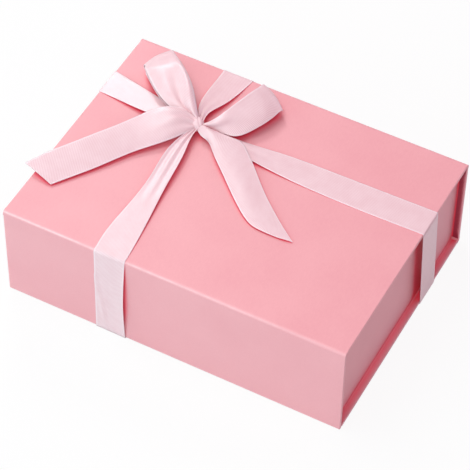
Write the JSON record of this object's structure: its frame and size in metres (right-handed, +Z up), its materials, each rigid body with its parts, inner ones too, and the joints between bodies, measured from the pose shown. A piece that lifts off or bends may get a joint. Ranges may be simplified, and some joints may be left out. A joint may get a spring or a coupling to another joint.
{
  "type": "gift box",
  "caption": "Rigid book-style gift box: hinged lid with a magnetic front flap over an inner tray, wrapped lengthwise and crosswise in satin ribbon tied in a bow.",
  "frame": {"origin": "on the surface the box stands on, at the middle of its whole outline, which takes in the left ribbon tail", "axes": "+X along the long front to the right, +Y from the flap to the spine, +Z up through the lid"},
  "size_m": [0.2354, 0.1716, 0.0871],
  "materials": {
    "cover_paper": "matt pink wrap paper with a fine grain, rubbed pale along the folds",
    "lining_paper": "matt pink lining paper",
    "kraft_tape": "plain brown gummed tape, hidden under the wrap",
    "grey_board": "bare grey board, hidden under the papers",
    "ribbon_satin": "pale pink satin with woven edges",
    "closure_metal": "plated disc, hidden under the paper"
  },
  "bodies": {
    "box": {"base_board": "grey_board", "base_wrap": "cover_paper", "base_lining": "lining_paper", "base_crease": "cover_paper", "spine_board": "grey_board", "spine_wrap": "cover_paper", "spine_lining": "lining_paper", "tray_floor": "grey_board", "tray_front_wall": "grey_board", "tray_back_wall": "grey_board", "tray_left_wall": "grey_board", "tray_right_wall": "grey_board", "tray_corner_stays": "kraft_tape", "tray_wrap": "cover_paper", "tray_floor_lining": "lining_paper", "tray_keepers": "closure_metal", "ribbon_under_lengthwise": "ribbon_satin", "ribbon_under_crosswise": "ribbon_satin", "ribbon_run_left": "ribbon_satin", "ribbon_run_right": "ribbon_satin", "ribbon_run_back": "ribbon_satin"},
    "lid": {"lid_board": "grey_board", "lid_wrap": "cover_paper", "lid_lining": "lining_paper", "lid_crease": "cover_paper", "flap_crease": "cover_paper", "ribbon_fold_front": "ribbon_satin", "ribbon_fold_back": "ribbon_satin", "ribbon_strand_left": "ribbon_satin", "ribbon_strand_right": "ribbon_satin", "ribbon_strand_front": "ribbon_satin", "ribbon_strand_back": "ribbon_satin", "bow_knot": "ribbon_satin", "bow_loop_back": "ribbon_satin", "bow_loop_right": "ribbon_satin", "bow_tail_left": "ribbon_satin", "bow_tail_front": "ribbon_satin"},
    "flap": {"flap_board": "grey_board", "flap_wrap": "cover_paper", "flap_lining": "lining_paper", "flap_magnets": "closure_metal", "ribbon_run_front": "ribbon_satin"}
  },
  "joints": [
    {"name": "lid_hinge", "type": "hinge", "parent": "box", "child": "lid", "pos_m": [0.00228, 0.0831, 0.0694], "axis": [-1, 0, 0], "range_deg": [0, 120], "deforming": ["lid_crease", "ribbon_fold_back"]},
    {"name": "flap_hinge", "type": "hinge", "parent": "lid", "child": "flap", "pos_m": [0.00228, -0.0831, 0.0694], "axis": [-1, 0, 0], "range_deg": [0, 120], "deforming": ["flap_crease", "ribbon_fold_front"]}
  ]
}
